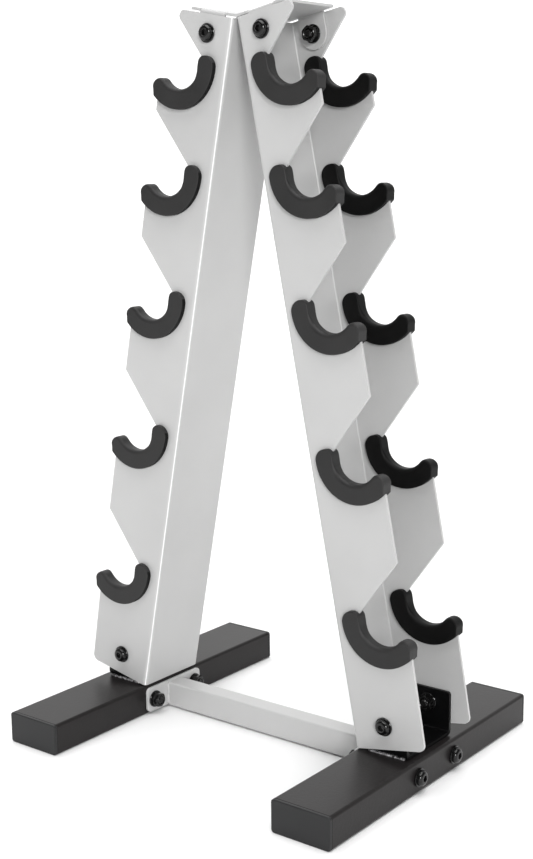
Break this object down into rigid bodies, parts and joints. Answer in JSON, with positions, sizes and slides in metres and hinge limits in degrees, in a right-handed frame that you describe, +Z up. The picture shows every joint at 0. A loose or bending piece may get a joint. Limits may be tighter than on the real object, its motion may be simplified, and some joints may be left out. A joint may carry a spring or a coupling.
{
  "type": "dumbbell rack",
  "caption": "Freestanding A-frame dumbbell rack: two folded steel uprights with rubber-lined notches hold dumbbells by their handles on either side, above tube feet.",
  "frame": {"origin": "on the floor, at the middle of the rack's footprint", "axes": "+Z up; X runs across the two feet, from the left upright to the right one; +Y runs along the feet, from the rack's front to its rear"},
  "size_m": [0.3998, 0.3306, 0.6816],
  "materials": {
    "frame_paint": "light grey satin powder coat",
    "foot_paint": "black satin powder coat",
    "cradle_rubber": "moulded charcoal rubber, fine matt texture",
    "cap_plastic": "black moulded plastic",
    "black_steel": "glossy black oxide"
  },
  "bodies": {
    "root": {"left_upright": "frame_paint", "left_front_cradle_1": "cradle_rubber", "left_front_cradle_2": "cradle_rubber", "left_front_cradle_3": "cradle_rubber", "left_front_cradle_4": "cradle_rubber", "left_front_cradle_5": "cradle_rubber", "left_rear_cradle_1": "cradle_rubber", "left_rear_cradle_2": "cradle_rubber", "left_rear_cradle_3": "cradle_rubber", "left_rear_cradle_4": "cradle_rubber", "left_rear_cradle_5": "cradle_rubber", "left_foot": "foot_paint", "left_foot_bracket": "foot_paint", "left_front_foot_cap": "cap_plastic", "left_rear_foot_cap": "cap_plastic", "left_crossbar_plate": "frame_paint", "left_front_upper_bolt": "black_steel", "left_front_upper_nut": "black_steel", "left_front_lower_bolt": "black_steel", "left_front_lower_nut": "black_steel", "left_front_crossbar_bolt": "black_steel", "left_front_crossbar_nut": "black_steel", "left_rear_upper_bolt": "black_steel", "left_rear_upper_nut": "black_steel", "left_rear_lower_bolt": "black_steel", "left_rear_lower_nut": "black_steel", "left_rear_crossbar_bolt": "black_steel", "left_rear_crossbar_nut": "black_steel", "right_upright": "frame_paint", "right_front_cradle_1": "cradle_rubber", "right_front_cradle_2": "cradle_rubber", "right_front_cradle_3": "cradle_rubber", "right_front_cradle_4": "cradle_rubber", "right_front_cradle_5": "cradle_rubber", "right_rear_cradle_1": "cradle_rubber", "right_rear_cradle_2": "cradle_rubber", "right_rear_cradle_3": "cradle_rubber", "right_rear_cradle_4": "cradle_rubber", "right_rear_cradle_5": "cradle_rubber", "right_foot": "foot_paint", "right_foot_bracket": "foot_paint", "right_front_foot_cap": "cap_plastic", "right_rear_foot_cap": "cap_plastic", "right_crossbar_plate": "frame_paint", "right_front_upper_bolt": "black_steel", "right_front_upper_nut": "black_steel", "right_front_lower_bolt": "black_steel", "right_front_lower_nut": "black_steel", "right_front_crossbar_bolt": "black_steel", "right_front_crossbar_nut": "black_steel", "right_rear_upper_bolt": "black_steel", "right_rear_upper_nut": "black_steel", "right_rear_lower_bolt": "black_steel", "right_rear_lower_nut": "black_steel", "right_rear_crossbar_bolt": "black_steel", "right_rear_crossbar_nut": "black_steel", "crossbar": "frame_paint", "top_bracket": "frame_paint"}
  },
  "joints": []
}
